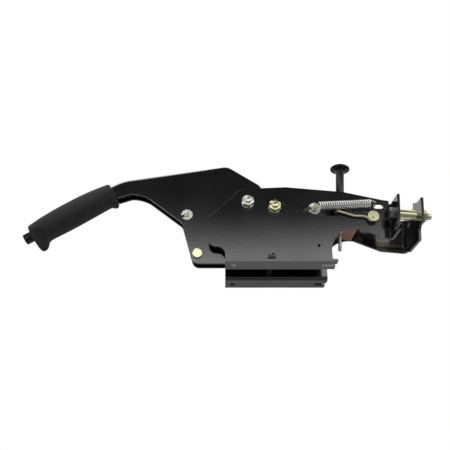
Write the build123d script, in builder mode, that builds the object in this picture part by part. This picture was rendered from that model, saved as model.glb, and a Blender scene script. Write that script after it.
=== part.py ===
from build123d import *
from math import cos, radians, sin
import os

# Parking brake lever, millimetres. X runs from the grip to the cable end, Z is up from the mounting
# face, and the origin is midway between the two round foot holes. The lever is at rest, brake off.

# Bracket sheet and width
sheet = 3.0
bend = 2.0
inner_gap = 36.0
flange_width = 28.0
fold = sheet + bend
plate_in = inner_gap / 2
plate_out = plate_in + sheet
flange_edge = plate_out + flange_width

# Foot of the bracket
foot_left = -9.5
foot_right = 116.2
foot_hole_r = 4.25
foot_hole_y = plate_out + flange_width / 2
slot_end_x = 103.5

# Outline of the side plates
shoulder_z = 28.6
heel_x = -29.5
top_left_z = 98.5
top_peak = (65.5, 107.8)
top_mid = (136.0, 101.1)
top_end = (182.7, 90.0)
arch_right = (153.5, 51.6)
arch_top = (127.5, 45.5)
arch_left_z = 20.0

# Cable end, tilted down about Y
nose_tilt = 5.5
nose_foot = (187.7, 37.9)
nose_height = 51.0
ear_height = 46.6
end_gap = 27.4
end_height = 44.5
end_tab_height = 50.5
end_tab_y = (-35.0, -20.0)
end_lip = 4.0
notch_v = 7.4
notch_r = 5.8
notch_y = -41.5
conduit_r = 5.1
draw_at = (-35.0, 27.0)

# Pivots on the bracket
pivot = (18.2, 86.0)
sector_anchor = (50.6, 79.5)
tie_at = (45.2, 15.6)
gauge_hole_at = (101.2, 30.0)
gauge_hole_r = 1.8

# Lever sheet and its pins
lever_sheet = 2.5
lever_half = 9.0
web_drop = 2.8
lever_bend = 3.0
crown_above = 110.0
web_end_x = 29.0
pull_pin_at = (-42.6, 24.5)
pull_pin_r = 4.0
pawl_pin_at = (-56.6, 75.4)
pawl_pin_r = 3.5

# Grip and its push button, along the grip axis
grip_angle = 31.0
neck_at = (-150.5, 108.38)
grip_length = 112.0
tube_r = 9.0
tube_bore_r = 7.0
tube_start = 3.0
tube_end = grip_length + 6
button_r = 6.75
button_out = 10.0
button_in = 14.0
rod_r = 2.0

# Ratchet
sector_r = 52.0
sector_y = (1.5, 5.5)
sector_from = 150.0
sector_to = 224.0
tooth_count = 14
tooth_pitch = 3.0
tooth_depth = 2.4
first_tooth = 172.0
pawl_y = (1.7, 5.3)
pawl_angle = 215.0
pawl_gap = 0.35
pawl_tail = 28.0

# Cable carriage
carriage = (99.2, 78.0)
carriage_travel = 34.0
cross_pin_r = 4.0
link_y = (-4.5, -0.5)
link_half = 5.0
link_bow = 18.0
link_eye_r = 9.0
link_slot_r = 7.4
link_end_r = 12.0
yoke_sheet = 2.8
yoke_web_u = 18.0
yoke_half_height = 8.0
cable_hole_r = 2.75

# Return spring outside the near plate
spring_y = -28.0
spring_wire = 2.0
spring_r = 5.5
spring_from = 102.6
spring_to = 163.0
spring_z = 80.3
spring_hole = (177.2, 81.5)
spring_hole_size = (12.0, 6.5)
hook_pin_r = 3.2

# Push plunger, leaning towards the cable end
plunger_lean = 4.9
plunger_foot = (128.2, 35.0)
plunger_y = -11.5
plunger_rod_r = 2.0
plunger_stem_r = 5.1
knob_r = 12.3
knob_s = 103.8
knob_t = 4.2
arm_pin_at = (167.8, 65.4)
arm_wire_r = 1.5
arm_eye_r = 7.0
arm_y = -24.4
arm_tip = (126.2, 73.3)
collar_r = 6.2

# Fasteners
bolt_r = 4.0
hex_flats = 13.0
nut_height = 6.5
head_height = 5.3
washer_r = 7.4
washer_t = 1.6
sleeve_r = 5.5
spacer_r = 6.3
running = 0.04
side_play = 0.3

os.makedirs("parts", exist_ok=True)

nose_n = (cos(radians(nose_tilt)), 0, -sin(radians(nose_tilt)))
nose_m = (sin(radians(nose_tilt)), 0, cos(radians(nose_tilt)))
grip_a = (cos(radians(grip_angle)), 0, sin(radians(grip_angle)))
grip_start = (neck_at[0] - grip_length * grip_a[0], neck_at[1] - grip_length * grip_a[2])
yoke_y = (link_y[0] + link_y[1]) / 2
pull_v = (carriage[0] - nose_foot[0]) * nose_m[0] + (carriage[1] - nose_foot[1]) * nose_m[2]
plunger_p = (sin(radians(plunger_lean)), 0, cos(radians(plunger_lean)))


# Planes that the pieces are drawn on
def y_plane(y):
    return Plane.XZ.offset(-y)


def nose_point(u, v):
    x = nose_foot[0] + u * nose_n[0] + v * nose_m[0]
    z = nose_foot[1] + u * nose_n[2] + v * nose_m[2]
    return (x, z)


def nose_face(u):
    x, z = nose_point(u, 0)
    return Plane(origin=(x, 0, z), x_dir=(0, 1, 0), z_dir=nose_n)


def nose_section(v):
    x, z = nose_point(0, v)
    return Plane(origin=(x, 0, z), x_dir=nose_n, z_dir=nose_m)


def grip_face(s):
    origin = (grip_start[0] + s * grip_a[0], 0, grip_start[1] + s * grip_a[2])
    return Plane(origin=origin, x_dir=(0, 1, 0), z_dir=grip_a)


def grip_point(s, b):
    x = grip_start[0] + s * grip_a[0] - b * grip_a[2]
    z = grip_start[1] + s * grip_a[2] + b * grip_a[0]
    return (x, z)


def plunger_face(s):
    origin = (plunger_foot[0] + s * plunger_p[0], plunger_y, plunger_foot[1] + s * plunger_p[2])
    return Plane(origin=origin, x_dir=(0, 1, 0), z_dir=plunger_p)


def carriage_face(u):
    origin = (carriage[0] + u * nose_n[0], 0, carriage[1] + u * nose_n[2])
    return Plane(origin=origin, x_dir=(0, 1, 0), z_dir=nose_n)


# Round and hexagonal lengths, added to or cut from the part in hand
def y_round(at, radius, y0, y1, mode=Mode.ADD):
    with BuildSketch(y_plane(y1)) as profile:
        with Locations(at):
            Circle(radius)
    extrude(profile.sketch, amount=y1 - y0, mode=mode)


def y_hex(at, flats, y0, y1):
    with BuildSketch(y_plane(y1)) as profile:
        with Locations(at):
            RegularPolygon(flats / 2, 6, major_radius=False)
    extrude(profile.sketch, amount=y1 - y0)


def face_round(plane, at, radius, length, mode=Mode.ADD):
    with BuildSketch(plane) as profile:
        with Locations(at):
            Circle(radius)
    extrude(profile.sketch, amount=length, mode=mode)


def face_hex(plane, at, flats, length):
    with BuildSketch(plane) as profile:
        with Locations(at):
            RegularPolygon(flats / 2, 6, major_radius=False)
    extrude(profile.sketch, amount=length)


def bent_strip(outer, inner):
    FilletPolyline(*outer, radius=fold)
    FilletPolyline(*inner, radius=bend)
    Line(outer[0], inner[0])
    Line(outer[-1], inner[-1])


def save(builder, name):
    builder.part.label = name
    export_step(builder.part, f"parts/{name}.step")


# Side plates: one outline, with the foot flange and the cable end folded from the same sheet
def plate_outline(reach, top_v):
    heel_low = (foot_left, shoulder_z - 9.6)
    heel_mid = (foot_left - 10, shoulder_z)
    heel_high = (heel_x, shoulder_z + 9.4)
    crown_low = (3.0, top_left_z)
    crown_high = (16.5, top_left_z + 7)
    arch_foot = (foot_right, arch_left_z)
    Line((foot_right, fold), (foot_left, fold))
    Line((foot_left, fold), heel_low)
    ThreePointArc(heel_low, (foot_left - 3, shoulder_z - 2.6), heel_mid)
    ThreePointArc(heel_mid, (heel_x + 3, shoulder_z + 2.6), heel_high)
    Line(heel_high, (heel_x, 67.0))
    Line((heel_x, 67.0), crown_low)
    ThreePointArc(crown_low, (9.0, top_left_z + 5), crown_high)
    Line(crown_high, top_peak)
    Line(top_peak, top_mid)
    Line(top_mid, top_end)
    Line(top_end, nose_point(reach, top_v))
    Line(nose_point(reach, top_v), nose_point(reach, 0))
    Polyline(nose_point(reach, 0), nose_point(-bend, 0), arch_right) if reach > 0 else Line(
        nose_point(reach, 0), arch_right)
    ThreePointArc(arch_right, arch_top, arch_foot)
    Line(arch_foot, (foot_right, fold))


def foot_flange(side):
    outer = [(side * plate_in, 3 * fold), (side * plate_in, 0), (side * flange_edge, 0)]
    inner = [(side * plate_out, 3 * fold), (side * plate_out, sheet), (side * flange_edge, sheet)]
    with BuildSketch(Plane.YZ.offset(foot_left)) as strip:
        with BuildLine():
            bent_strip(outer, inner)
        make_face()
    extrude(strip.sketch, amount=foot_right - foot_left)
    with BuildSketch(Plane.XY) as holes:
        with Locations((0, side * foot_hole_y)):
            Circle(foot_hole_r)
        with Locations((slot_end_x, side * foot_hole_y)):
            Circle(foot_hole_r)
        with Locations(((slot_end_x + foot_right + 1) / 2, side * foot_hole_y)):
            Rectangle(foot_right + 1 - slot_end_x, 2 * foot_hole_r)
    extrude(holes.sketch, amount=sheet, mode=Mode.SUBTRACT)


def cable_notch(u, open_below):
    with BuildSketch(nose_face(u)) as notch:
        with Locations((notch_y, notch_v)):
            Circle(notch_r)
        with Locations(((notch_y - flange_edge - 1) / 2, notch_v)):
            Rectangle(flange_edge + 1 + notch_y, 2 * notch_r)
        if open_below:
            with Locations(((notch_y + notch_r - flange_edge - 1) / 2, notch_v - notch_r)):
                Rectangle(flange_edge + 1 + notch_y + notch_r, 2 * notch_r)
    extrude(notch.sketch, amount=sheet, mode=Mode.SUBTRACT)


def plate_holes(y0, y1):
    y_round(pivot, bolt_r + 0.05, y0, y1, Mode.SUBTRACT)
    y_round(sector_anchor, bolt_r + 0.05, y0, y1, Mode.SUBTRACT)
    y_round(tie_at, bolt_r, y0, y1, Mode.SUBTRACT)
    half = carriage_travel / 2
    with BuildSketch(y_plane(y1)) as slot:
        with Locations((carriage[0] - half * nose_n[0], carriage[1] - half * nose_n[2])):
            SlotCenterToCenter(carriage_travel, 2 * cross_pin_r + 0.6, rotation=-nose_tilt)
    extrude(slot.sketch, amount=y1 - y0, mode=Mode.SUBTRACT)


with BuildPart() as near_side_plate:
    with BuildSketch(y_plane(-plate_in)):
        with BuildLine():
            plate_outline(-bend, nose_height)
        make_face()
    extrude(amount=sheet)
    foot_flange(-1)
    ear_outer = [(-3 * fold, -plate_in), (sheet, -plate_in), (sheet, -flange_edge)]
    ear_inner = [(-3 * fold, -plate_out), (0, -plate_out), (0, -flange_edge)]
    with BuildSketch(nose_section(0)):
        with BuildLine():
            bent_strip(ear_outer, ear_inner)
        make_face()
    extrude(amount=ear_height)
    cable_notch(0, False)
    face_round(nose_face(0), draw_at, bolt_r + running, sheet, Mode.SUBTRACT)
    plate_holes(-plate_out, -plate_in)
    y_round(gauge_hole_at, gauge_hole_r, -plate_out, -plate_in, Mode.SUBTRACT)
    y_round(arm_pin_at, 3.5, -plate_out, -plate_in, Mode.SUBTRACT)
    with BuildSketch(y_plane(-plate_in)):
        with Locations((120.0, 72.2)):
            RectangleRounded(16.5, 6.8, 1.0)
        with Locations(spring_hole):
            SlotOverall(*spring_hole_size)
    extrude(amount=sheet, mode=Mode.SUBTRACT)
save(near_side_plate, "near_side_plate")

with BuildPart() as far_side_plate:
    with BuildSketch(y_plane(plate_out)):
        with BuildLine():
            plate_outline(end_gap - bend, end_height)
        make_face()
    extrude(amount=sheet)
    foot_flange(1)
    end_outer = [(end_gap - 3 * fold, plate_out), (end_gap + sheet, plate_out),
                 (end_gap + sheet, -flange_edge)]
    end_inner = [(end_gap - 3 * fold, plate_in), (end_gap, plate_in), (end_gap, -flange_edge)]
    with BuildSketch(nose_section(0)):
        with BuildLine():
            bent_strip(end_outer, end_inner)
        make_face()
    extrude(amount=end_height)
    with BuildSketch(nose_face(end_gap)):
        with BuildLine():
            Polyline((end_tab_y[0], end_height), (end_tab_y[1] - 1.5, end_tab_height),
                     (end_tab_y[1], end_tab_height - 1.5), (end_tab_y[1], end_height - 1),
                     (end_tab_y[0], end_height - 1), close=True)
        make_face()
        with BuildLine():
            Polyline((notch_y, 1), (notch_y, -2), (notch_y + 4, -end_lip), (4, -end_lip), (12, 1), close=True)
        make_face()
    extrude(amount=sheet)
    cable_notch(end_gap, True)
    face_round(nose_face(end_gap), draw_at, bolt_r + running, sheet, Mode.SUBTRACT)
    face_round(nose_face(end_gap), (yoke_y, pull_v), conduit_r, sheet, Mode.SUBTRACT)
    plate_holes(plate_in, plate_out)
save(far_side_plate, "far_side_plate")


# Ratchet sector, fixed between the side plates, with the teeth cut into its rim
def pivot_polar(radius, angle):
    return (pivot[0] + radius * cos(radians(angle)), pivot[1] + radius * sin(radians(angle)))


with BuildPart() as ratchet_sector:
    with BuildSketch(y_plane(sector_y[1])):
        with Locations(pivot):
            Circle(sector_r)
        with BuildLine():
            Polyline(pivot, pivot_polar(2 * sector_r, sector_from), pivot_polar(2 * sector_r, 187),
                     pivot_polar(2 * sector_r, sector_to), pivot)
        make_face(mode=Mode.INTERSECT)
        with BuildSketch(mode=Mode.ADD):
            with Locations(pivot):
                Circle(13)
            with Locations(sector_anchor):
                Circle(9)
            make_hull()
        with Locations(pivot):
            with PolarLocations(sector_r, tooth_count, first_tooth, tooth_pitch * tooth_count,
                                endpoint=False):
                Polygon((0.6, 1.25), (-tooth_depth, 1.15), (0.6, -1.35), align=None,
                        mode=Mode.SUBTRACT)
        with Locations(pivot):
            Circle(sleeve_r, mode=Mode.SUBTRACT)
        with Locations(sector_anchor):
            Circle(bolt_r + 0.05, mode=Mode.SUBTRACT)
        with Locations(pivot_polar(32, 187)):
            Circle(7, mode=Mode.SUBTRACT)
    extrude(amount=sector_y[1] - sector_y[0])
save(ratchet_sector, "ratchet_sector")

# Pivot of the lever: a sleeve clamped between the plates by a bolt
with BuildPart() as pivot_sleeve:
    y_round(pivot, sleeve_r, -plate_in, plate_in)
    y_round(pivot, bolt_r + 0.05, -plate_in, plate_in, Mode.SUBTRACT)
save(pivot_sleeve, "pivot_sleeve")

with BuildPart() as thrust_spacers:
    for y0, y1 in ((-plate_in, -lever_half - side_play), (lever_half + side_play, plate_in)):
        y_round(pivot, sleeve_r + 3.5, y0, y1)
        y_round(pivot, sleeve_r, y0, y1, Mode.SUBTRACT)
save(thrust_spacers, "thrust_spacers")


def through_bolt(at, name):
    with BuildPart() as bolt:
        y_round(at, bolt_r, -plate_out - washer_t - nut_height - 1.5, plate_out)
        y_hex(at, hex_flats, plate_out, plate_out + head_height)
        fillet(bolt.faces().sort_by(Axis.Y)[-1].edges(), 0.8)
    save(bolt, name + "_bolt")
    with BuildPart() as nut:
        y_round(at, washer_r, -plate_out - washer_t, -plate_out)
        y_hex(at, hex_flats, -plate_out - washer_t - nut_height, -plate_out - washer_t)
        fillet(nut.faces().sort_by(Axis.Y)[0].edges(), 0.8)
        y_round(at, bolt_r, -plate_out - washer_t - nut_height, -plate_out, Mode.SUBTRACT)
    save(nut, name + "_nut")


through_bolt(pivot, "pivot")
through_bolt(sector_anchor, "sector")

with BuildPart() as sector_spacers:
    for y0, y1 in ((-plate_in, sector_y[0]), (sector_y[1], plate_in)):
        y_round(sector_anchor, spacer_r, y0, y1)
        y_round(sector_anchor, bolt_r + 0.05, y0, y1, Mode.SUBTRACT)
save(sector_spacers, "sector_spacers")

with BuildPart() as lower_tie:
    y_round(tie_at, spacer_r, -plate_in, plate_in)
    y_round(tie_at, bolt_r, -plate_out - 2, plate_out + 2)
    fillet(lower_tie.faces().sort_by(Axis.Y)[0].edges(), 1.6)
    fillet(lower_tie.faces().sort_by(Axis.Y)[-1].edges(), 1.6)
save(lower_tie, "lower_tie")

# Draw bolt, its spacer tube and nut, between the two folded ends
with BuildPart() as draw_bolt:
    face_hex(nose_face(-head_height), draw_at, hex_flats, head_height)
    face_round(nose_face(0), draw_at, bolt_r, end_gap + sheet + nut_height + 5.5)
save(draw_bolt, "draw_bolt")

with BuildPart() as spacer_tube:
    face_round(nose_face(sheet), draw_at, spacer_r, end_gap - sheet)
    face_round(nose_face(sheet), draw_at, bolt_r + 0.2, end_gap - sheet, Mode.SUBTRACT)
save(spacer_tube, "spacer_tube")

with BuildPart() as draw_nut:
    face_hex(nose_face(end_gap + sheet), draw_at, hex_flats, nut_height)
    face_round(nose_face(end_gap + sheet), draw_at, bolt_r, nut_height, Mode.SUBTRACT)
save(draw_nut, "draw_nut")


# Lever arm: a channel pressed from one sheet, open below, with the grip tube welded in
def lever_outline(drop):
    neck_top = (grip_point(grip_length, 7.6)[0], grip_point(grip_length, 7.6)[1] - drop)
    neck_low = (grip_point(grip_length, -11)[0], grip_point(grip_length, -11)[1] - drop)
    corner = (-49.6, 18.8 - drop)
    heel = (-40.0, 12.0 - drop)
    knee_low = (-61.5, 60.5 - drop)
    knee_high = (-66.2, 67.9 - drop)
    throat = (-99.0, 93.6 - drop)
    crest = (-129.0, 104.5 - drop)
    ThreePointArc(neck_top, (-141.0, 122.1 - drop), (-124.2, 125.9 - drop))
    Line((-124.2, 125.9 - drop), (-14.0, 143.9 - drop))
    ThreePointArc((-14.0, 143.9 - drop), (-8.0, 144.2 - drop), (-2.6, 142.5 - drop))
    Line((-2.6, 142.5 - drop), (31.5, 119.7 - drop))
    ThreePointArc((31.5, 119.7 - drop), (36.5, 113.8 - drop), (38.8, 105.5 - drop))
    Line((38.8, 105.5 - drop), (38.8, 88.0 - drop))
    Line((38.8, 88.0 - drop), (4.0, 18.0 - drop))
    Line((4.0, 18.0 - drop), (-6.0, 12.0 - drop))
    Line((-6.0, 12.0 - drop), heel)
    ThreePointArc(heel, (-46.4, 14.0 - drop), corner)
    Line(corner, knee_low)
    ThreePointArc(knee_low, (-63.2, 64.8 - drop), knee_high)
    Line(knee_high, throat)
    ThreePointArc(throat, (-114.5, 102.5 - drop), crest)
    Line(crest, neck_low)
    Line(neck_low, neck_top)


with BuildPart() as lever_arm:
    with BuildSketch(y_plane(lever_half)):
        with BuildLine():
            lever_outline(0)
        make_face()
    extrude(amount=2 * lever_half)
    crown = lever_arm.edges().filter_by(lambda edge: edge.center().Z > crown_above)
    sides = crown.filter_by(lambda edge: abs(abs(edge.center().Y) - lever_half) < running)
    fillet(sides, lever_bend)
    face_round(grip_face(tube_start), (0, 0), tube_r, tube_end - tube_start)
    channel_half = lever_half - lever_sheet
    with BuildSketch(y_plane(channel_half)):
        with BuildLine():
            lever_outline(web_drop)
        make_face()
        with Locations((web_end_x + 20, 100)):
            Rectangle(40, 80)
    extrude(amount=2 * channel_half, mode=Mode.SUBTRACT)
    face_round(grip_face(tube_start), (0, 0), tube_bore_r, grip_length, Mode.SUBTRACT)
    y_round(pivot, sleeve_r + running, -lever_half, lever_half, Mode.SUBTRACT)
    y_round(pull_pin_at, pull_pin_r, -lever_half, lever_half, Mode.SUBTRACT)
    y_round(pawl_pin_at, pawl_pin_r, -lever_half, lever_half, Mode.SUBTRACT)
save(lever_arm, "lever_arm")

# Grip: lofted over the hand, with a finger guard at each end
grip_sections = ((0, 13.4, -14.0, 12.5), (0.27 * grip_length, 17.0, -16.4, 14.5),
                 (0.64 * grip_length, 18.6, -15.4, 15.0), (grip_length, 16.3, -15.0, 14.0))
with BuildPart() as grip:
    for s, high, low, half in grip_sections:
        with BuildSketch(grip_face(s)):
            with Locations((0, (high + low) / 2)):
                Ellipse(half, (high - low) / 2)
    loft()
    with BuildSketch(y_plane(7)):
        with BuildLine():
            Polyline(grip_point(0.2, -4), grip_point(0.2, -10), grip_point(4, -23.8),
                     grip_point(11, -24.2), grip_point(15, -20), grip_point(17, -12),
                     grip_point(17, -4), close=True)
        make_face()
        with BuildLine():
            lip = grip_length - 0.1
            Polyline(grip_point(lip - 9, -4), grip_point(lip - 9, -14.5), grip_point(lip - 6.5, -19.5),
                     grip_point(lip - 2, -18.6), grip_point(lip, -11), grip_point(lip, -4), close=True)
        make_face()
    extrude(amount=14)
    face_round(grip_face(-1), (0, 0), tube_bore_r, grip_length + 2, Mode.SUBTRACT)
    face_round(grip_face(tube_start), (0, 0), tube_r, grip_length, Mode.SUBTRACT)
save(grip, "grip")

with BuildPart() as pull_pin:
    y_round(pull_pin_at, 6.1, -lever_half - 2.8, -lever_half)
    y_round(pull_pin_at, pull_pin_r, -lever_half, lever_half + 3)
    fillet(pull_pin.faces().sort_by(Axis.Y)[0].edges(), 0.8)
save(pull_pin, "pull_pin")


def retaining_ring(at, shaft, y0, turn):
    y_round(at, shaft + 3.4, y0, y0 + 1)
    y_round(at, shaft, y0, y0 + 1, Mode.SUBTRACT)
    with BuildSketch(y_plane(y0 + 1)) as mouth:
        with Locations(at):
            with PolarLocations(shaft + 2, 1, turn):
                Rectangle(6, shaft)
    extrude(mouth.sketch, amount=1, mode=Mode.SUBTRACT)


with BuildPart() as pull_pin_ring:
    retaining_ring(pull_pin_at, pull_pin_r, lever_half, 200)
save(pull_pin_ring, "pull_pin_ring")

with BuildPart() as pawl_pin:
    y_round(pawl_pin_at, pawl_pin_r, -lever_half - 2.4, lever_half + 2.4)
    chamfer(pawl_pin.edges().filter_by(GeomType.CIRCLE), 0.5)
save(pawl_pin, "pawl_pin")

with BuildPart() as pawl_pin_rings:
    retaining_ring(pawl_pin_at, pawl_pin_r, -lever_half - 1, 205)
    retaining_ring(pawl_pin_at, pawl_pin_r, lever_half, 205)
save(pawl_pin_rings, "pawl_pin_rings")

# Pawl: the nose rides just off the rim at rest, the tail stands in front of the release rod
nose_r = sector_r + pawl_gap
tail_at = (pawl_pin_at[0], pawl_pin_at[1] + pawl_tail)
with BuildPart() as pawl:
    with BuildSketch(y_plane(pawl_y[1])):
        with BuildSketch(mode=Mode.ADD):
            with Locations(pawl_pin_at):
                Circle(7)
            with Locations(pivot_polar(nose_r + 4.2, pawl_angle - 1)):
                Circle(3)
            make_hull()
        with BuildSketch(mode=Mode.ADD):
            with Locations(pawl_pin_at):
                Circle(6)
            with Locations(tail_at):
                Circle(3)
            make_hull()
        with BuildLine():
            Polyline(pivot_polar(nose_r, pawl_angle), pivot_polar(nose_r + 4.6, pawl_angle + 2.4),
                     pivot_polar(nose_r + 5, pawl_angle - 4), close=True)
        make_face()
        with Locations(pawl_pin_at):
            Circle(pawl_pin_r + running, mode=Mode.SUBTRACT)
    extrude(amount=pawl_y[1] - pawl_y[0])
save(pawl, "pawl")

with BuildPart() as pawl_spring:
    y_round(pawl_pin_at, pawl_pin_r + 2.6, -lever_half + lever_sheet + side_play, pawl_y[0] - side_play)
    y_round(pawl_pin_at, pawl_pin_r + 0.5, -lever_half, pawl_y[0], Mode.SUBTRACT)
save(pawl_spring, "pawl_spring")

# Push button and the bent rod that it moves
rod_y = (pawl_y[0] + pawl_y[1]) / 2
rod_end_x = tail_at[0] - 3 - 0.6
with BuildPart() as release_button:
    face_round(grip_face(-button_out), (0, 0), button_r, button_out + button_in)
    fillet(release_button.faces().sort_by(Axis.X)[0].edges(), 1.2)
save(release_button, "release_button")

with BuildPart() as release_rod:
    start_x, start_z = grip_point(button_in, 0)
    bend_x, bend_z = grip_point(grip_length + 1, 0)
    with BuildLine() as rod_path:
        FilletPolyline((start_x, 0, start_z), (bend_x, 0, bend_z), (bend_x + 20, rod_y, bend_z + 4),
                       (rod_end_x, rod_y, tail_at[1]), radius=8)
    with BuildSketch(Plane(origin=rod_path.line @ 0, z_dir=rod_path.line % 0)):
        Circle(rod_r)
    sweep()
save(release_rod, "release_rod")


# Link from the lever to the carriage, bowed to pass under the pivot
def link_point(t, side):
    dx = carriage[0] - pull_pin_at[0]
    dz = carriage[1] - pull_pin_at[1]
    length = (dx * dx + dz * dz) ** 0.5
    return (pull_pin_at[0] + t * dx + side * dz / length, pull_pin_at[1] + t * dz - side * dx / length)


with BuildPart() as pull_link:
    with BuildSketch(y_plane(link_y[1])):
        with BuildLine():
            ThreePointArc(link_point(0, -link_half), link_point(0.5, link_bow - link_half),
                          link_point(1, -link_half))
            Line(link_point(1, -link_half), link_point(1, link_half))
            ThreePointArc(link_point(1, link_half), link_point(0.5, link_bow + link_half),
                          link_point(0, link_half))
            Line(link_point(0, link_half), link_point(0, -link_half))
        make_face()
        with Locations(pull_pin_at):
            Circle(link_eye_r)
        with Locations(carriage):
            Circle(link_end_r)
        with Locations(pull_pin_at):
            Circle(pull_pin_r + running, mode=Mode.SUBTRACT)
        with Locations(carriage):
            Circle(link_slot_r, mode=Mode.SUBTRACT)
    extrude(amount=link_y[1] - link_y[0])
save(pull_link, "pull_link")

# Carriage: a cross pin in the two slots, carrying the cable yoke
with BuildPart() as cross_pin:
    y_round(carriage, cross_pin_r, -plate_out - 1.5, plate_out + 4)
    y_round(carriage, hook_pin_r, spring_y - 3, -plate_out)
    chamfer(cross_pin.faces().sort_by(Axis.Y)[0].edges(), 0.6)
save(cross_pin, "cross_pin")

with BuildPart() as cross_pin_rings:
    retaining_ring(carriage, cross_pin_r, -plate_out - side_play - 1, 180)
    retaining_ring(carriage, cross_pin_r, plate_out + side_play, 180)
save(cross_pin_rings, "cross_pin_rings")

yoke_near = link_y[0] - 0.7
yoke_far = link_y[1] + 0.7
with BuildPart() as pull_yoke:
    yoke_width = yoke_far - yoke_near + 2 * yoke_sheet
    with BuildSketch(carriage_face(-yoke_half_height)):
        with Locations((yoke_y, 0)):
            Rectangle(yoke_width, 2 * yoke_half_height)
    extrude(amount=yoke_half_height + yoke_web_u + yoke_sheet)
    with BuildSketch(carriage_face(-yoke_half_height)):
        with Locations((yoke_y, 0)):
            Rectangle(yoke_far - yoke_near, 2 * yoke_half_height + 2)
    extrude(amount=yoke_half_height + yoke_web_u, mode=Mode.SUBTRACT)
    y_round(carriage, cross_pin_r, -plate_in, plate_in, Mode.SUBTRACT)
    face_round(carriage_face(yoke_web_u), (yoke_y, 0), cable_hole_r, yoke_sheet, Mode.SUBTRACT)
    fillet(pull_yoke.edges().filter_by(Axis.Y).group_by(Axis.X)[0], 5)
save(pull_yoke, "pull_yoke")

# Return spring: the closed coil as a tube, with a loop on the cross pin and a hook in the plate
with BuildPart() as return_spring:
    coil_face = Plane.YZ.offset(spring_from)
    face_round(coil_face, (spring_y, spring_z), spring_r, spring_to - spring_from)
    face_round(coil_face, (spring_y, spring_z), spring_r - spring_wire, spring_to - spring_from,
               Mode.SUBTRACT)
    loop_r = hook_pin_r + 0.1
    y_round(carriage, loop_r + spring_wire, spring_y - spring_wire / 2, spring_y + spring_wire / 2)
    y_round(carriage, loop_r, spring_y - spring_wire, spring_y + spring_wire, Mode.SUBTRACT)
    hook_x = spring_hole[0] - spring_hole_size[0] / 2 + spring_wire / 2 + 0.2
    with BuildLine() as hook_path:
        FilletPolyline((spring_to - 0.5, spring_y, spring_z + spring_r - 1),
                       (hook_x, spring_y, spring_hole[1]),
                       (hook_x, -plate_in - 0.5, spring_hole[1]), radius=3)
    with BuildSketch(Plane(origin=hook_path.line @ 0, z_dir=hook_path.line % 0)):
        Circle(spring_wire / 2)
    sweep()
save(return_spring, "return_spring")

# Push plunger with its knob, guided by the bridge and the block
with BuildPart() as plunger_knob:
    face_round(plunger_face(57), (0, 0), plunger_stem_r, knob_s - 56)
    face_round(plunger_face(knob_s), (0, 0), knob_r, knob_t)
    fillet(plunger_knob.faces().sort_by(Axis.Z)[-1].edges(), 1.4)
    face_round(plunger_face(57), (0, 0), plunger_rod_r, 39, Mode.SUBTRACT)
save(plunger_knob, "plunger_knob")

with BuildPart() as plunger_rod:
    face_round(plunger_face(-8.6), (0, 0), plunger_rod_r, 96 + 8.6)
    chamfer(plunger_rod.faces().sort_by(Axis.Z)[0].edges(), 1.0)
save(plunger_rod, "plunger_rod")

with BuildPart() as plunger_collar:
    face_round(plunger_face(39.7), (0, 0), collar_r, 3.5)
    face_round(plunger_face(39.7), (0, 0), plunger_rod_r, 3.5, Mode.SUBTRACT)
save(plunger_collar, "plunger_collar")


def guide(s0, s1, length, shift, bore, name):
    with BuildPart() as block:
        with BuildSketch(plunger_face(s0)):
            with Locations((-plunger_y, -shift)):
                Rectangle(inner_gap, length)
            Circle(bore, mode=Mode.SUBTRACT)
        extrude(amount=s1 - s0)
    save(block, name)


guide(60, 63, 34, 0, plunger_stem_r + running, "top_bridge")
guide(19, 31, 25, 7, plunger_rod_r + running, "guide_block")

# Wire arm that carries the plunger, on its pin
with BuildPart() as arm_pin:
    y_round(arm_pin_at, 3.5, -plate_out - 6, -plate_in)
    y_round(arm_pin_at, 6.7, -plate_out - 7.5, -plate_out - 6)
    y_round(arm_pin_at, 2.8, -plate_out - 9.5, -plate_out - 6)
    y_round(arm_pin_at, 6.0, -plate_in, -plate_in + 3)
save(arm_pin, "arm_pin")

with BuildPart() as return_arm:
    y_round(arm_pin_at, arm_eye_r, arm_y - 2, arm_y + 2)
    y_round(arm_pin_at, 3.5 + running, arm_y - 2, arm_y + 2, Mode.SUBTRACT)
    with BuildLine() as arm_path:
        FilletPolyline((arm_pin_at[0] - 5.0, arm_y, arm_pin_at[1] - 0.8), (147.0, arm_y, 66.0),
                       (arm_tip[0], arm_y, arm_tip[1]), (arm_tip[0], plunger_y + 0.5, arm_tip[1]),
                       radius=3)
    with BuildSketch(Plane(origin=arm_path.line @ 0, z_dir=arm_path.line % 0)):
        Circle(arm_wire_r)
    sweep()
save(return_arm, "return_arm")
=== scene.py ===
from math import atan2, cos, radians, sin, tau

import bmesh
import bpy
from bpy.props import FloatProperty, FloatVectorProperty, IntProperty, PointerProperty
from mathutils import Matrix, Vector


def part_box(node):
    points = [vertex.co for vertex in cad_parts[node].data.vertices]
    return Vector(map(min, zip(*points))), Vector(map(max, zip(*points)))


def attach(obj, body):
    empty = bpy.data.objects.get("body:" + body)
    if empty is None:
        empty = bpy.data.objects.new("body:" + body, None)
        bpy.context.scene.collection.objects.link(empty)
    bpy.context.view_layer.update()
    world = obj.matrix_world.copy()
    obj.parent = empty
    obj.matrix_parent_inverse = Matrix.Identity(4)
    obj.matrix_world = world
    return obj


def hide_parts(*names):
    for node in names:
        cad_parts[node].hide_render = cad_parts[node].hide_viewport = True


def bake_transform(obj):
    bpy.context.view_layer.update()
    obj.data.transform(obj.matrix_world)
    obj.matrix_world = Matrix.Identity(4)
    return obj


bl_info = {
    "name": "Parking brake lever",
    "version": (1, 0, 0),
    "blender": (4, 5, 0),
    "location": "3D View > Sidebar > Brake lever",
    "description": "Dresses the packed brake lever with springs, threads, a moulded grip and real finishes",
    "category": "Object",
}

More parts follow.
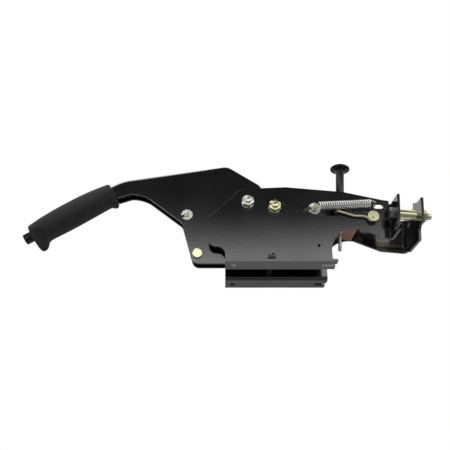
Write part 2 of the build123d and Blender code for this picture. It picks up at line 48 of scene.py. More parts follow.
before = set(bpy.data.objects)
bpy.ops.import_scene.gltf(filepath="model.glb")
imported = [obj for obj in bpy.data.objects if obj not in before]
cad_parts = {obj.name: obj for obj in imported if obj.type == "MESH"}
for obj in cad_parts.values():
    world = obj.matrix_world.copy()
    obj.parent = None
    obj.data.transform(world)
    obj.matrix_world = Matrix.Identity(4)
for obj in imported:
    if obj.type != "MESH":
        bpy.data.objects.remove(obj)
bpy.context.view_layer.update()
MM = 0.001
FINISH_PREFIX = "finish_"
PAINT_INDEX = 1.9  # above that of plastic, for the deep gloss of the paint
KNOB_INDEX = 1.4
PALE_YELLOW = (0.93, 0.90, 0.66)

# The cable, its slots and the draw bolt fall towards the cable end; the grip, plunger and spring lean
CABLE_TILT = radians(5.5)
GRIP_ANGLE = radians(31.0)
PLUNGER_LEAN = radians(4.9)
SPRING_LEAN = radians(2.86)

# Planes across the bracket, and the M8 fasteners
SPRING_Y = -28.0 * MM
DRAW_BOLT_Y = -35.0 * MM
BOLT_RADIUS = 4.0 * MM
BOLT_HOLE = 4.05 * MM
NUT_FLATS = 13.0 * MM
WASHER_HEIGHT = 1.6 * MM
THREAD_RADIUS = 3.85 * MM


class BrakeSizes(bpy.types.PropertyGroup):
    """Sizes of the pieces that are made here."""

    coil_wire: FloatProperty(
        name="Coil wire radius", description="Radius of the return spring's wire",
        default=0.0008, unit="LENGTH")
    coil_radius: FloatProperty(
        name="Coil radius", description="Middle radius of the return spring's coil",
        default=0.0046, unit="LENGTH")
    coil_turns: IntProperty(
        name="Coil turns", description="Number of turns of the return spring", default=23)
    arm_wire: FloatProperty(
        name="Arm wire radius", description="Radius of the return arm's wire",
        default=0.0015, unit="LENGTH")
    thread_pitch: FloatProperty(
        name="Thread pitch", description="Pitch of the M8 threads", default=0.00125, unit="LENGTH")
    thread_ridge: FloatProperty(
        name="Thread ridge", description="Radius of the ridge that stands for the thread",
        default=0.00042, unit="LENGTH")
    grip_bore: FloatProperty(
        name="Grip mouth radius", description="Radius of the hole that the button moves in",
        default=0.00692, unit="LENGTH")


class BrakeFinish(bpy.types.PropertyGroup):
    """Colours of the finishes."""

    paint: FloatVectorProperty(
        name="Gloss paint", description="Black paint of the bracket and the lever",
        default=(0.0028, 0.0028, 0.003), subtype="COLOR")
    grip: FloatVectorProperty(
        name="Grip", description="Moulded grip", default=(0.009, 0.009, 0.0094), subtype="COLOR")
    knob: FloatVectorProperty(
        name="Knob and button", description="Moulded knob and push button",
        default=(0.007, 0.007, 0.0075), subtype="COLOR")
    yellow_zinc: FloatVectorProperty(
        name="Yellow zinc", description="Passivated pins, nuts and wire",
        default=(0.88, 0.83, 0.46), subtype="COLOR")
    white_zinc: FloatVectorProperty(
        name="White zinc", description="Clips and washers", default=(0.94, 0.95, 0.94), subtype="COLOR")
    steel: FloatVectorProperty(
        name="Plain steel", description="Oiled steel inside", default=(0.42, 0.41, 0.40), subtype="COLOR")
    block: FloatVectorProperty(
        name="Guide block", description="Brown guide block", default=(0.26, 0.11, 0.04), subtype="COLOR")


# Materials
def empty_tree(owner):
    owner.use_nodes = True
    owner.node_tree.nodes.clear()
    return owner.node_tree


def start_material(name):
    material = bpy.data.materials.new(FINISH_PREFIX + name)
    tree = empty_tree(material)
    output = tree.nodes.new("ShaderNodeOutputMaterial")
    shader = tree.nodes.new("ShaderNodeBsdfPrincipled")
    tree.links.new(shader.outputs["BSDF"], output.inputs["Surface"])
    return material, tree, shader


def place(tree, stretch=(1.0, 1.0, 1.0)):
    coordinates = tree.nodes.new("ShaderNodeTexCoord")
    mapping = tree.nodes.new("ShaderNodeMapping")
    mapping.inputs["Scale"].default_value = stretch
    tree.links.new(coordinates.outputs["Object"], mapping.inputs["Vector"])
    return mapping.outputs["Vector"]


def noise(tree, scale, detail=4.0, rough=0.5, stretch=(1.0, 1.0, 1.0)):
    texture = tree.nodes.new("ShaderNodeTexNoise")
    texture.inputs["Scale"].default_value = scale
    texture.inputs["Detail"].default_value = detail
    texture.inputs["Roughness"].default_value = rough
    tree.links.new(place(tree, stretch), texture.inputs["Vector"])
    return texture.outputs["Fac"]


def spread(tree, source, from_low, from_high, to_low, to_high):
    node = tree.nodes.new("ShaderNodeMapRange")
    node.inputs["From Min"].default_value = from_low
    node.inputs["From Max"].default_value = from_high
    node.inputs["To Min"].default_value = to_low
    node.inputs["To Max"].default_value = to_high
    tree.links.new(source, node.inputs["Value"])
    return node.outputs["Result"]


def blend_colours(tree, factor, first, second):
    """Mix two colours, each of them a constant or the output of a node."""
    node = tree.nodes.new("ShaderNodeMix")
    node.data_type = "RGBA"
    sockets = [socket for socket in node.inputs if socket.type == "RGBA"]
    for socket, colour in zip(sockets, (first, second)):
        if isinstance(colour, bpy.types.NodeSocket):
            tree.links.new(colour, socket)
        else:
            socket.default_value = (*colour, 1.0)
    tree.links.new(factor, node.inputs[0])
    return next(socket for socket in node.outputs if socket.type == "RGBA")


def blend_shaders(tree, factor, first, second):
    node = tree.nodes.new("ShaderNodeMixShader")
    for source, socket in zip((factor, first, second), node.inputs):
        tree.links.new(source, socket)
    return node.outputs["Shader"]


def raise_surface(tree, shader, heights, edge=0.0):
    normal = None
    if edge > 0:
        rounded = tree.nodes.new("ShaderNodeBevel")
        rounded.samples = 4
        rounded.inputs["Radius"].default_value = edge
        normal = rounded.outputs["Normal"]
    for height, strength, distance in heights:
        bump = tree.nodes.new("ShaderNodeBump")
        bump.inputs["Strength"].default_value = strength
        bump.inputs["Distance"].default_value = distance
        tree.links.new(height, bump.inputs["Height"])
        if normal is not None:
            tree.links.new(normal, bump.inputs["Normal"])
        normal = bump.outputs["Normal"]
    if normal is not None:
        tree.links.new(normal, shader.inputs["Normal"])


def lighter(colour, by):
    return tuple(min(1.0, value * by) for value in colour)


def gloss_paint(name, colour):
    material, tree, shader = start_material(name)
    cloud = noise(tree, 18.0, 5.0)
    dust = noise(tree, 240.0, 6.0, 0.7)
    worn = spread(tree, dust, 0.66, 0.8, 0.0, 0.3)
    tree.links.new(blend_colours(tree, worn, colour, lighter(colour, 4.0)), shader.inputs["Base Color"])
    tree.links.new(spread(tree, cloud, 0.3, 0.7, 0.07, 0.13), shader.inputs["Roughness"])
    shader.inputs["IOR"].default_value = PAINT_INDEX
    orange_peel = noise(tree, 420.0, 2.0)
    raise_surface(tree, shader, [(orange_peel, 0.12, 0.0002)], 0.0006)
    return material


def passivated(name, colour, tinge, rough_low, rough_high, edge=0.0003):
    material, tree, shader = start_material(name)
    patches = noise(tree, 150.0, 3.0, 0.6)
    grain = noise(tree, 1500.0, 4.0, 0.6)
    mix = spread(tree, patches, 0.35, 0.65, 0.0, 1.0)
    tree.links.new(blend_colours(tree, mix, colour, tinge), shader.inputs["Base Color"])
    tree.links.new(spread(tree, grain, 0.3, 0.7, rough_low, rough_high), shader.inputs["Roughness"])
    shader.inputs["Metallic"].default_value = 1.0
    raise_surface(tree, shader, [(patches, 0.08, 0.0004), (grain, 0.12, 0.0001)], edge)
    return material


def moulded(name, colour, rough_low, rough_high, grain_size, grain_depth, index=1.5):
    material, tree, shader = start_material(name)
    cloud = noise(tree, 40.0, 4.0)
    grain = noise(tree, grain_size, 3.0, 0.55)
    mix = spread(tree, cloud, 0.35, 0.7, 0.0, 1.0)
    tree.links.new(blend_colours(tree, mix, colour, lighter(colour, 1.35)), shader.inputs["Base Color"])
    tree.links.new(spread(tree, grain, 0.3, 0.7, rough_low, rough_high), shader.inputs["Roughness"])
    shader.inputs["IOR"].default_value = index
    raise_surface(tree, shader, [(cloud, 0.1, 0.001), (grain, grain_depth, 0.0003)])
    return material


def pressed_block(name, colour):
    material, tree, shader = start_material(name)
    fibre = noise(tree, 260.0, 5.0, 0.6, (1.0, 1.0, 6.0))
    mix = spread(tree, fibre, 0.3, 0.7, 0.0, 1.0)
    tree.links.new(
        blend_colours(tree, mix, lighter(colour, 0.6), lighter(colour, 1.5)), shader.inputs["Base Color"])
    tree.links.new(spread(tree, fibre, 0.3, 0.7, 0.35, 0.5), shader.inputs["Roughness"])
    raise_surface(tree, shader, [(fibre, 0.3, 0.0003)], 0.0005)
    return material


def finish_named(name):
    """The material of that name, made on first use."""
    found = bpy.data.materials.get(FINISH_PREFIX + name)
    if found is not None:
        return found
    colours = bpy.context.scene.brake_finish
    paint, yellow, white, steel = (
        tuple(colour) for colour in (colours.paint, colours.yellow_zinc, colours.white_zinc, colours.steel))
    make, *how = {
        "bracket_paint": (gloss_paint, paint),
        "lever_paint": (gloss_paint, lighter(paint, 1.05)),
        "yellow_zinc": (passivated, yellow, PALE_YELLOW, 0.12, 0.24),
        "bright_zinc": (passivated, yellow, PALE_YELLOW, 0.05, 0.11, 0.0),
        "white_zinc": (passivated, white, (0.86, 0.87, 0.90), 0.24, 0.42),
        "warm_zinc": (passivated, (0.95, 0.95, 0.84), (0.90, 0.91, 0.88), 0.16, 0.32),
        "dark_zinc": (passivated, (0.50, 0.50, 0.49), (0.38, 0.38, 0.39), 0.25, 0.42),
        "spring_wire": (passivated, (0.96, 0.96, 0.95), (0.86, 0.86, 0.86), 0.32, 0.48, 0.0),
        "oiled_steel": (passivated, steel, lighter(steel, 0.7), 0.28, 0.5),
        "grip_moulding": (moulded, tuple(colours.grip), 0.55, 0.72, 1700.0, 0.35),
        "knob_moulding": (moulded, tuple(colours.knob), 0.10, 0.18, 900.0, 0.05, KNOB_INDEX),
        "guide_block": (pressed_block, tuple(colours.block)),
    }[name]
    return make(name, *how)


def finish_nodes(name, *nodes):
    for node in nodes:
        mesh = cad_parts[node].data
        mesh.materials.clear()
        mesh.materials.append(finish_named(name))


# Mesh helpers: wires are a ring of edges drawn along straight runs and round bends
def piece(name, bm, finish, body, slot, *nodes):
    """Turn a mesh into a visible piece; a piece with no body is left without a parent."""
    bmesh.ops.remove_doubles(bm, verts=bm.verts, dist=1e-6)
    bmesh.ops.recalc_face_normals(bm, faces=bm.faces)
    mesh = bpy.data.meshes.new(name)
    bm.to_mesh(mesh)
    bm.free()
    mesh.shade_smooth()
    mesh.set_sharp_from_angle(angle=radians(40))
    made = bpy.data.objects.new(name, mesh)
    bpy.context.collection.objects.link(made)
    made.data.materials.append(finish_named(finish))
    if nodes:
        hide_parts(*nodes)
    if body:
        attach(made, body)
    return made


def ring_verts(ring):
    return list({vert for edge in ring for vert in edge.verts})


def wire_start(bm, at, along, radius, sides=12):
    facing = Vector(along).to_track_quat("Z", "Y").to_matrix().to_4x4()
    made = bmesh.ops.create_circle(
        bm, segments=sides, radius=radius, matrix=Matrix.Translation(Vector(at)) @ facing)
    return list({edge for vert in made["verts"] for edge in vert.link_edges})


def wire_run(bm, ring, step):
    made = bmesh.ops.extrude_edge_only(bm, edges=ring)
    verts = [item for item in made["geom"] if isinstance(item, bmesh.types.BMVert)]
    bmesh.ops.translate(bm, verts=verts, vec=Vector(step))
    fresh = set(verts)
    return [edge for edge in bm.edges if edge.verts[0] in fresh and edge.verts[1] in fresh]


def wire_bend(bm, ring, centre, axis, angle, steps, climb=(0.0, 0.0, 0.0)):
    made = bmesh.ops.spin(
        bm, geom=ring_verts(ring) + ring, cent=Vector(centre), axis=Vector(axis),
        dvec=Vector(climb) / steps, angle=angle, steps=steps, use_merge=False)
    return [item for item in made["geom_last"] if isinstance(item, bmesh.types.BMEdge)]


def close_ends(bm):
    bmesh.ops.holes_fill(bm, edges=[edge for edge in bm.edges if edge.is_boundary], sides=0)


def helix(bm, at, out, axis, wire, radius, turns, pitch, per_turn=20, sides=8):
    """A coil whose axis passes through at; it starts on the side that out points to."""
    out = Vector(out).normalized()
    along = Vector(axis).normalized()
    ring = wire_start(bm, Vector(at) + radius * out, along.cross(out), wire, sides)
    return wire_bend(bm, ring, at, axis, turns * tau, int(turns * per_turn), turns * pitch * along)


def turned(bm, at, axis, profile, sides=56):
    """A turned shape; each profile step is a distance along the axis from at, and a radius."""
    axis = Vector(axis).normalized()
    out = axis.orthogonal().normalized()
    verts = [bm.verts.new(Vector(at) + far * axis + radius * out) for far, radius in profile]
    edges = [bm.edges.new(pair) for pair in zip(verts, verts[1:])]
    bmesh.ops.spin(
        bm, geom=verts + edges, cent=Vector(at), axis=axis, dvec=(0, 0, 0), angle=tau, steps=sides,
        use_merge=True)


def turned_piece(name, at, axis, profile, sides, finish, body, slot, *nodes):
    """A piece of its own from a turned shape whose profile is in millimetres."""
    bm = bmesh.new()
    turned(bm, at, axis, tuple((far * MM, radius * MM) for far, radius in profile), sides)
    return piece(name, bm, finish, body, slot, *nodes)


def hex_nut(bm, at, axis, corner, flats, height, bore, sides=72):
    """A nut with its seat at at, a corner towards corner, and its outer corners cut back by a cone."""
    axis = Vector(axis).normalized()
    corner = Vector(corner).normalized()
    across = axis.cross(corner)
    face = 0.47 * flats
    lead_in = 0.6 * MM

    def hexagon(angle):
        return 0.5 * flats / cos((angle % radians(60)) - radians(30))

    # How far along the axis, and at what radius, each ring lies; edge is the hexagon's radius there
    rings = (
        (lambda edge: 0.0, lambda edge: bore),
        (lambda edge: height - lead_in, lambda edge: bore),
        (lambda edge: height, lambda edge: bore + lead_in),
        (lambda edge: height, lambda edge: face),
        (lambda edge: height - 0.58 * (edge - face), lambda edge: edge),
        (lambda edge: 0.35 * (edge - face), lambda edge: edge),
        (lambda edge: 0.0, lambda edge: face),
        (lambda edge: 0.0, lambda edge: bore),
    )
    ring = wire_start(bm, at, axis, flats, sides)
    for step, (far, radius) in enumerate(rings):
        if step:
            ring = wire_run(bm, ring, (0, 0, 0))
        for vert in ring_verts(ring):
            offset = vert.co - Vector(at)
            angle = atan2(offset.dot(across), offset.dot(corner)) % tau
            edge = hexagon(angle)
            around = corner * cos(angle) + across * sin(angle)
            vert.co = Vector(at) + far(edge) * axis + radius(edge) * around


def middle(node):
    """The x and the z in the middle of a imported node's box."""
    low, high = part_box(node)
    return (low[0] + high[0]) / 2, (low[2] + high[2]) / 2


def draw_line():
    """The middle of the draw nut, and the direction of the draw bolt towards the cable end."""
    x, z = middle("draw_nut")
    return Vector((x, DRAW_BOLT_Y, z)), Vector((cos(CABLE_TILT), 0, -sin(CABLE_TILT)))


class BRAKE_OT_bracket(bpy.types.Operator):
    """Finish the painted bracket, its block and its fasteners"""

    bl_idname = "brake_lever.bracket"
    bl_label = "Bracket finishes"

    def execute(self, context):
        finish_nodes("bracket_paint", "near_side_plate", "far_side_plate", "top_bridge", "lower_tie")
        finish_nodes("guide_block", "guide_block")
        finish_nodes("warm_zinc", "pivot_bolt", "thrust_spacers", "sector_spacers")
        finish_nodes("dark_zinc", "draw_bolt")
        finish_nodes("yellow_zinc", "sector_bolt", "draw_nut", "arm_pin")
        finish_nodes("bright_zinc", "spacer_tube")
        finish_nodes("oiled_steel", "ratchet_sector", "pivot_sleeve")
        return {"FINISHED"}


class BRAKE_OT_lever(bpy.types.Operator):
    """Finish the lever, the pawl, the pins, the linkage and the plunger"""

    bl_idname = "brake_lever.lever"
    bl_label = "Lever and linkage finishes"

    def execute(self, context):
        finish_nodes("lever_paint", "lever_arm")
        finish_nodes("yellow_zinc", "pull_pin", "pawl_pin", "cross_pin")
        finish_nodes("white_zinc", "pawl_pin_rings", "pull_pin_ring", "cross_pin_rings")
        finish_nodes("oiled_steel", "pawl", "pull_link", "pull_yoke", "release_rod", "plunger_collar")
        finish_nodes("dark_zinc", "plunger_rod")
        finish_nodes("knob_moulding", "release_button")
        return {"FINISHED"}


class BRAKE_OT_return_spring(bpy.types.Operator):
    """Wind the return spring, with its loop on the cross pin and its hook in the near plate"""

    bl_idname = "brake_lever.return_spring"
    bl_label = "Return spring"

    def execute(self, context):
        sizes = context.scene.brake_sizes
        wire = sizes.coil_wire
        turns = sizes.coil_turns
        axis = Vector((cos(SPRING_LEAN), 0, sin(SPRING_LEAN)))
        above = Vector((-sin(SPRING_LEAN), 0, cos(SPRING_LEAN)))
        centre = Vector((104.0 * MM, SPRING_Y, 78.5 * MM))
        length = 62.6 * MM
        end = centre + length * axis
        bm = bmesh.new()
        helix(bm, centre, above, axis, wire, sizes.coil_radius, turns, length / turns, 22, 8)
        # The loop goes most of the way round the cross pin
        pin_x, pin_z = middle("cross_pin")
        pin = Vector((pin_x, SPRING_Y, pin_z))
        loop_radius = 3.3 * MM + wire
        loop = wire_start(bm, pin + Vector((loop_radius, 0, 0)), (0, 0, 1), wire, 10)
        wire_bend(bm, loop, pin, (0, 1, 0), tau * 0.86, 32, (0.0, 1.2 * MM, 0.0))
        # The hook leaves the top of the coil and turns in through the slot of the near plate
        leaves = end + sizes.coil_radius * above - Vector((0.5 * MM, 0, 0))
        run = Vector((4.4 * MM, 0, -2.0 * MM))
        hook = wire_start(bm, leaves, (1, 0, -0.2), wire, 10)
        hook = wire_run(bm, hook, run)
        hook = wire_bend(
            bm, hook, leaves + run + Vector((0, 2.6 * MM, 0)), (0, 0, 1), radians(90), 8,
            (0.0, 0.0, -1.2 * MM))
        wire_run(bm, hook, (0.0, 6.6 * MM, -1.0 * MM))
        close_ends(bm)
        made = piece("spring_coil", bm, "spring_wire", None, "spring_steel", "return_spring")
        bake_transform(made)
        return {"FINISHED"}


class BRAKE_OT_return_arm(bpy.types.Operator):
    """Bend the wire arm that lifts the plunger, with its turns round the pin"""

    bl_idname = "brake_lever.return_arm"
    bl_label = "Return arm"

    def execute(self, context):
        wire = context.scene.brake_sizes.arm_wire
        eye = Vector((167.8 * MM, -24.4 * MM, 65.4 * MM))
        radius = 3.55 * MM + wire
        bm = bmesh.new()
        helix(
            bm, eye - Vector((0, 0.9 * MM, 0)), (1, 0, 0), (0, 1, 0), wire * 0.8, radius - wire * 0.2, 1.9,
            1.35 * MM, 28, 10)
        close_ends(bm)
        piece("arm_turns", bm, "yellow_zinc", "arm", "yellow_zinc", "return_arm")
        path = bpy.data.curves.new("arm_wire", "CURVE")
        path.dimensions = "3D"
        path.bevel_depth = wire
        path.bevel_resolution = 3
        path.resolution_u = 10
        path.use_fill_caps = True
        line = path.splines.new("NURBS")
        # From under the pin along the near plate, then in through the arm's slot to the plunger
        corners = [
            (eye.x - 1.0 * MM, eye.y, eye.z - radius), (eye.x - 4.2 * MM, eye.y, eye.z - radius * 0.85)]
        corners += [(x * MM, eye.y, z * MM) for x, z in (
            (161.8, 64.6), (158.8, 66.4), (154.0, 67.1), (147.5, 67.1), (144.5, 67.6), (134.0, 71.2),
            (127.2, 73.2))]
        corners += [(126.2 * MM, y * MM, 73.3 * MM) for y in (-23.4, -20.0, -15.0, -11.2)]
        line.points.add(len(corners) - 1)
        for point, corner in zip(line.points, corners):
            point.co = (*corner, 1.0)
        line.order_u = 3
        line.use_endpoint_u = True
        made = bpy.data.objects.new("arm_wire", path)
        context.collection.objects.link(made)
        path.materials.append(finish_named("yellow_zinc"))
        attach(made, "arm")
        return {"FINISHED"}


class BRAKE_OT_pawl_spring(bpy.types.Operator):
    """Wind the small spring on the pawl's pin"""

    bl_idname = "brake_lever.pawl_spring"
    bl_label = "Pawl spring"

    def execute(self, context):
        x, z = middle("pawl_spring")
        near_end = Vector((x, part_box("pawl_spring")[0][1] + 0.7 * MM, z))
        bm = bmesh.new()
        helix(bm, near_end, (-1, 0, 0), (0, 1, 0), 0.6 * MM, 5.2 * MM, 4.5, 1.32 * MM, 20, 8)
        close_ends(bm)
        piece("pawl_coil", bm, "spring_wire", "lever", "spring_steel", "pawl_spring")
        return {"FINISHED"}


class BRAKE_OT_nuts(bpy.types.Operator):
    """Cut the near nuts with their chamfers and washers, and round the ends of their bolts"""

    bl_idname = "brake_lever.nuts"
    bl_label = "Near nuts"

    def execute(self, context):
        out = Vector((0, -1, 0))
        rounded_end = ((-0.4, 3.9), (-0.4, 4.03), (0.2, 4.03), (0.9, 3.35), (1.15, 2.4), (1.25, 0.0))
        for name, finish, slot, corner in (
                ("pivot", "warm_zinc", "white_zinc", 100.0), ("sector", "yellow_zinc", "yellow_zinc", 88.0)):
            low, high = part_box(name + "_nut")
            x, z = middle(name + "_nut")
            seat = Vector((x, high[1], z))
            towards = Vector((cos(radians(corner)), 0, sin(radians(corner))))
            bm = bmesh.new()
            turned(bm, seat, out, (
                (0.0, BOLT_HOLE), (0.0, 7.1 * MM), (0.3 * MM, 7.4 * MM), (WASHER_HEIGHT - 0.3 * MM, 7.4 * MM),
                (WASHER_HEIGHT, 7.1 * MM), (WASHER_HEIGHT, BOLT_HOLE), (0.0, BOLT_HOLE)))
            hex_nut(
                bm, seat + WASHER_HEIGHT * out, out, towards, NUT_FLATS,
                high[1] - low[1] - WASHER_HEIGHT, BOLT_HOLE)
            piece(name + "_hex", bm, finish, "bracket", slot, name + "_nut")
            end = Vector((x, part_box(name + "_bolt")[0][1], z))
            turned_piece(name + "_end", end, out, rounded_end, 40, finish, "bracket", slot)
        x, z = middle("lower_tie")
        turned_piece("tie_head", Vector((x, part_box("lower_tie")[0][1], z)), out, (
            (-0.5, 3.9), (-0.5, 4.5), (0.5, 4.5), (1.4, 4.1), (2.2, 3.3), (2.8, 2.1), (3.1, 1.0),
            (3.15, 0.0)), 40, "bracket_paint", "bracket", "black_paint")
        tip, along = draw_line()
        bolt_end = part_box("draw_bolt")[1][0] - BOLT_RADIUS * sin(CABLE_TILT)
        tip += along * (bolt_end - tip.x) / cos(CABLE_TILT)
        turned_piece("draw_end", tip, along, (
            (-3.0, 3.9), (-3.0, 4.04), (0.1, 4.04), (0.7, 3.4), (0.9, 2.4), (1.0, 0.0)), 40,
            "warm_zinc", "bracket", "white_zinc")
        return {"FINISHED"}


class BRAKE_OT_knob(bpy.types.Operator):
    """Turn the plunger's knob with its thick rounded disc and the cone under it"""

    bl_idname = "brake_lever.knob"
    bl_label = "Plunger knob"

    def execute(self, context):
        up = Vector((sin(PLUNGER_LEAN), 0, cos(PLUNGER_LEAN)))
        foot = Vector((128.2 * MM, -11.5 * MM, 35.0 * MM))
        stem = ((57.0, 2.1), (57.0, 4.7), (57.4, 5.1), (99.6, 5.1))
        cone = ((100.6, 5.5), (101.4, 6.6), (101.9, 9.0), (102.3, 11.2))
        disc = (
            (102.9, 12.0), (103.8, 12.3), (104.6, 12.1), (105.6, 11.2), (106.3, 9.6), (106.8, 6.0),
            (107.0, 0.0))
        turned_piece(
            "knob_moulding", foot, up, stem + cone + disc, 72, "knob_moulding", "plunger", "knob_plastic",
            "plunger_knob")
        return {"FINISHED"}


class BRAKE_OT_threads(bpy.types.Operator):
    """Cut the look of a thread on the ends of the bolts"""

    bl_idname = "brake_lever.threads"
    bl_label = "Bolt threads"

    def execute(self, context):
        sizes = context.scene.brake_sizes
        pitch = sizes.thread_pitch
        ridge = sizes.thread_ridge
        for name, finish, slot in (
                ("pivot", "warm_zinc", "white_zinc"), ("sector", "yellow_zinc", "yellow_zinc")):
            x, z = middle(name + "_bolt")
            start = Vector((x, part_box(name + "_bolt")[0][1] + ridge, z))
            bm = bmesh.new()
            helix(bm, start, (1, 0, 0), (0, 1, 0), ridge, THREAD_RADIUS, 1.4, pitch, 28, 4)
            close_ends(bm)
            piece(name + "_thread", bm, finish, "bracket", slot)
        start, along = draw_line()
        bm = bmesh.new()
        helix(bm, start + along * 3.0 * MM, (0, 1, 0), along, ridge, THREAD_RADIUS, 2.2, pitch, 28, 4)
        close_ends(bm)
        piece("draw_thread", bm, "yellow_zinc", "bracket", "yellow_zinc")
        return {"FINISHED"}


# Sections along the grip, in millimetres: distance from the button's end, top, bottom and half width
GRIP_LENGTH = 112.0
GUARD_RINGS = (
    (0.0, 11.2, -11.0, 11.6), (0.3, 12.4, -15.0, 12.6), (1.0, 13.3, -20.6, 13.1), (2.6, 14.0, -25.4, 13.3),
    (5.4, 14.4, -26.6, 13.5), (9.4, 15.0, -26.0, 13.8), (12.0, 15.4, -23.0, 14.0), (14.4, 15.9, -18.6, 14.2),
    (16.2, 16.3, -15.4, 14.3),
)
HAND_RINGS = (
    (30.0, 17.7, -15.6, 14.7), (42.0, 18.5, -15.7, 14.9), (57.0, 19.0, -15.5, 15.0),
    (72.0, 19.2, -14.8, 15.0), (88.0, 18.5, -14.2, 14.7),
)
LIP_RINGS = (
    (98.0, 17.3, -13.6, 14.4), (102.0, 16.8, -14.0, 14.2), (104.5, 16.6, -18.4, 14.1),
    (108.4, 16.2, -19.6, 13.9), (110.6, 15.6, -15.6, 13.6), (111.6, 14.8, -13.2, 12.9),
    (GRIP_LENGTH, 13.8, -12.4, 11.8),
)


class BRAKE_OT_grip(bpy.types.Operator):
    """Mould the hand grip with its finger guard, rear lip and the mouth that the button moves in"""

    bl_idname = "brake_lever.grip"
    bl_label = "Moulded grip"

    def execute(self, context):
        along = Vector((cos(GRIP_ANGLE), 0, sin(GRIP_ANGLE)))
        above = Vector((-sin(GRIP_ANGLE), 0, cos(GRIP_ANGLE)))
        end = Vector((-150.5 * MM, 0, 108.38 * MM))
        start = end - GRIP_LENGTH * MM * along
        bm = bmesh.new()
        around = bm.verts.layers.float.new("around")
        ring = wire_start(bm, start, along, 0.01, 40)
        verts = ring_verts(ring)
        for vert in verts:
            offset = vert.co - start
            vert[around] = atan2(offset.dot(above), offset.y)

        def shape(verts, s, top, bottom, half):
            """Lay a ring at s along the grip; the deeper its bottom, the narrower it is pinched there."""
            pinch = 1.0 + max(0.0, -bottom - 17.0) / 5.0
            for vert in verts:
                side, height = cos(vert[around]), sin(vert[around])
                if height >= 0:
                    up = top * height
                    out = half * side
                else:
                    up = bottom * abs(height) ** pinch
                    out = half * side * (1.0 - 0.12 * (pinch - 1.0) * abs(height))
                vert.co = start + (s * along + up * above + Vector((0, out, 0))) * MM

        def next_ring(ring):
            made = bmesh.ops.extrude_edge_only(bm, edges=ring)
            verts = [item for item in made["geom"] if isinstance(item, bmesh.types.BMVert)]
            fresh = set(verts)
            return verts, [edge for edge in made["geom"] if isinstance(edge, bmesh.types.BMEdge)
                           and edge.verts[0] in fresh and edge.verts[1] in fresh]

        def bore(s, radius):
            return s, radius, -radius, radius

        mouth = context.scene.brake_sizes.grip_bore / MM
        button_bore = (bore(8.0, mouth), bore(0.4, mouth), bore(0.0, mouth + 0.5))
        tube_bore = (bore(GRIP_LENGTH, 9.7), bore(109.0, 9.1), bore(9.4, 9.1), bore(8.0, mouth))
        sections = button_bore + GUARD_RINGS + HAND_RINGS + LIP_RINGS + tube_bore
        shape(verts, *sections[0])
        for section in sections[1:]:
            verts, ring = next_ring(ring)
            shape(verts, *section)
        made = piece("grip_moulding", bm, "grip_moulding", "lever", "grip_plastic", "grip")
        smooth = made.modifiers.new("Rounding", "SUBSURF")
        smooth.levels = 1
        smooth.render_levels = 1
        return {"FINISHED"}


FLOOR_RADIUS = 3.0
FLOOR_DROP = 0.3 * MM
LAMPS = (  # name, place, power and size
    ("key", (-0.7, -0.9, 2.0), 11.0, 1.0),
    ("fill", (1.3, -1.0, 1.2), 4.0, 1.0),
    ("back", (0.3, 1.5, 1.4), 6.0, 1.2),
)
LAMPS_LOOK_AT = Vector((0.0, 0.0, 0.06))
CAMERA_AT = (-0.0097, -0.60567, -0.20381)
CAMERA_RISE = radians(24)  # the photograph looks up by this
STUDIO_GREY = 0.45  # what lights the matt surfaces from all round
STUDIO_GLOSS = 2.0  # the brightest that a glossy surface mirrors

# What glossy surfaces mirror: a height from -1 to 1 and a share of the brightest
FRONT_BANDS = (
    (-1.0, 0.08), (-0.42, 0.08), (-0.2, 0.25), (0.22, 0.28), (0.29, 0.9), (0.345, 1.0), (0.364, 0.66),
    (0.381, 0.40), (0.398, 0.21), (0.415, 0.09), (0.432, 0.045), (0.46, 0.035), (1.0, 0.05),
)
BACK_BANDS = ((-1.0, 0.22), (-0.35, 0.22), (-0.3, 0.11), (-0.15, 0.14), (0.1, 0.42), (1.0, 0.45))


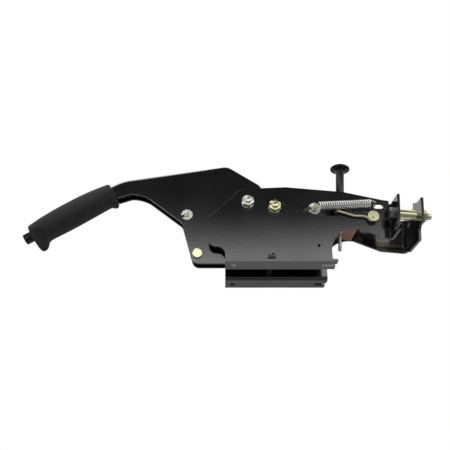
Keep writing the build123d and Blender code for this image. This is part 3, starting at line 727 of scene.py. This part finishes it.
class BRAKE_OT_stage(bpy.types.Operator):
    """Set the pale floor, the studio light and the camera of the photograph"""

    bl_idname = "brake_lever.stage"
    bl_label = "Stage"

    def execute(self, context):
        bm = bmesh.new()
        bmesh.ops.create_circle(
            bm, cap_ends=True, segments=64, radius=FLOOR_RADIUS,
            matrix=Matrix.Translation((0, 0, -FLOOR_DROP)))
        mesh = bpy.data.meshes.new("floor")
        bm.to_mesh(mesh)
        bm.free()
        floor = bpy.data.objects.new("floor", mesh)
        context.collection.objects.link(floor)
        mesh.materials.append(self.floor_material())
        self.world(context)
        for lamp in LAMPS:
            self.lamp(context, *lamp)
        camera = bpy.data.cameras.new("camera")
        camera.lens = 42.667
        camera.sensor_width = 36.0
        camera.clip_start = 0.01
        camera.clip_end = 20.0
        stand = bpy.data.objects.new("camera", camera)
        stand.location = CAMERA_AT
        stand.rotation_euler = (radians(90) + CAMERA_RISE, 0, 0)
        context.collection.objects.link(stand)
        context.scene.camera = stand
        context.scene.view_settings.view_transform = "Standard"
        return {"FINISHED"}

    def lamp(self, context, name, place_at, power, size):
        light = bpy.data.lights.new(name, "AREA")
        light.energy = power
        light.shape = "DISK"
        light.size = size
        holder = bpy.data.objects.new(name, light)
        holder.location = place_at
        look = LAMPS_LOOK_AT - Vector(place_at)
        holder.rotation_euler = look.to_track_quat("-Z", "Y").to_euler()
        context.collection.objects.link(holder)

    def floor_material(self):
        """Pale from above; clear from below and to glossy surfaces, which mirror the studio instead."""
        material = bpy.data.materials.new("pale_floor")
        tree = empty_tree(material)
        output = tree.nodes.new("ShaderNodeOutputMaterial")
        pale = tree.nodes.new("ShaderNodeBsdfDiffuse")
        clear = tree.nodes.new("ShaderNodeBsdfTransparent")
        side = tree.nodes.new("ShaderNodeNewGeometry")
        ray = tree.nodes.new("ShaderNodeLightPath")
        either = tree.nodes.new("ShaderNodeMath")
        either.operation = "MAXIMUM"
        pale.inputs["Color"].default_value = (0.86, 0.86, 0.85, 1.0)
        tree.links.new(side.outputs["Backfacing"], either.inputs[0])
        tree.links.new(ray.outputs["Is Glossy Ray"], either.inputs[1])
        mix = blend_shaders(tree, either.outputs["Value"], pale.outputs["BSDF"], clear.outputs["BSDF"])
        tree.links.new(mix, output.inputs["Surface"])
        return material

    def bands(self, tree, height, stops):
        """Grey bands of the studio at each height."""
        node = tree.nodes.new("ShaderNodeValToRGB")
        ramp = node.color_ramp
        ramp.interpolation = "LINEAR"
        while len(ramp.elements) < len(stops):
            ramp.elements.new(0.5)
        for element, (at, value) in zip(ramp.elements, stops):
            element.position = (at + 1.0) / 2.0
            element.color = (value, value, value, 1.0)
        tree.links.new(height, node.inputs["Fac"])
        return node.outputs["Color"]

    def world(self, context):
        """White to the camera, grey to matt surfaces and banded to glossy ones."""
        world = bpy.data.worlds.new("studio")
        context.scene.world = world
        tree = empty_tree(world)
        output = tree.nodes.new("ShaderNodeOutputWorld")
        seen = tree.nodes.new("ShaderNodeBackground")
        mirrored = tree.nodes.new("ShaderNodeBackground")
        lit = tree.nodes.new("ShaderNodeBackground")
        seen.inputs["Color"].default_value = (1.0, 1.0, 1.0, 1.0)
        lit.inputs["Color"].default_value = (STUDIO_GREY, STUDIO_GREY, STUDIO_GREY, 1.0)
        ray = tree.nodes.new("ShaderNodeLightPath")
        where = tree.nodes.new("ShaderNodeTexCoord")
        parts = tree.nodes.new("ShaderNodeSeparateXYZ")
        tree.links.new(where.outputs["Generated"], parts.inputs["Vector"])
        height = spread(tree, parts.outputs["Z"], -1.0, 1.0, 0.0, 1.0)
        front = self.bands(tree, height, FRONT_BANDS)
        back = self.bands(tree, height, BACK_BANDS)
        behind = spread(tree, parts.outputs["Y"], -0.35, 0.1, 0.0, 1.0)
        tree.links.new(blend_colours(tree, behind, front, back), mirrored.inputs["Color"])
        mirrored.inputs["Strength"].default_value = STUDIO_GLOSS
        gloss = blend_shaders(
            tree, ray.outputs["Is Glossy Ray"], lit.outputs["Background"], mirrored.outputs["Background"])
        camera = blend_shaders(tree, ray.outputs["Is Camera Ray"], gloss, seen.outputs["Background"])
        tree.links.new(camera, output.inputs["Surface"])


OPERATORS = (
    BRAKE_OT_bracket, BRAKE_OT_lever, BRAKE_OT_return_spring, BRAKE_OT_return_arm, BRAKE_OT_pawl_spring,
    BRAKE_OT_nuts, BRAKE_OT_knob, BRAKE_OT_threads, BRAKE_OT_grip, BRAKE_OT_stage,
)


class BRAKE_PT_panel(bpy.types.Panel):
    """Lists the steps that dress the brake lever"""

    bl_idname = "BRAKE_PT_panel"
    bl_label = "Brake lever"
    bl_space_type = "VIEW_3D"
    bl_region_type = "UI"
    bl_category = "Brake lever"

    def draw(self, context):
        for operator in OPERATORS:
            self.layout.operator(operator.bl_idname)
        for group in (context.scene.brake_sizes, context.scene.brake_finish):
            for name in group.__annotations__:
                self.layout.prop(group, name)


CLASSES = (BrakeSizes, BrakeFinish, *OPERATORS, BRAKE_PT_panel)


def register():
    for item in CLASSES:
        bpy.utils.register_class(item)
    bpy.types.Scene.brake_sizes = PointerProperty(type=BrakeSizes)
    bpy.types.Scene.brake_finish = PointerProperty(type=BrakeFinish)


def unregister():
    del bpy.types.Scene.brake_finish
    del bpy.types.Scene.brake_sizes
    for item in reversed(CLASSES):
        bpy.utils.unregister_class(item)


def main():
    register()
    bpy.ops.brake_lever.bracket()
    bpy.ops.brake_lever.lever()
    bpy.ops.brake_lever.return_spring()
    bpy.ops.brake_lever.return_arm()
    bpy.ops.brake_lever.pawl_spring()
    bpy.ops.brake_lever.nuts()
    bpy.ops.brake_lever.knob()
    bpy.ops.brake_lever.threads()
    bpy.ops.brake_lever.grip()
    bpy.ops.brake_lever.stage()


if __name__ == "__main__":
    main()
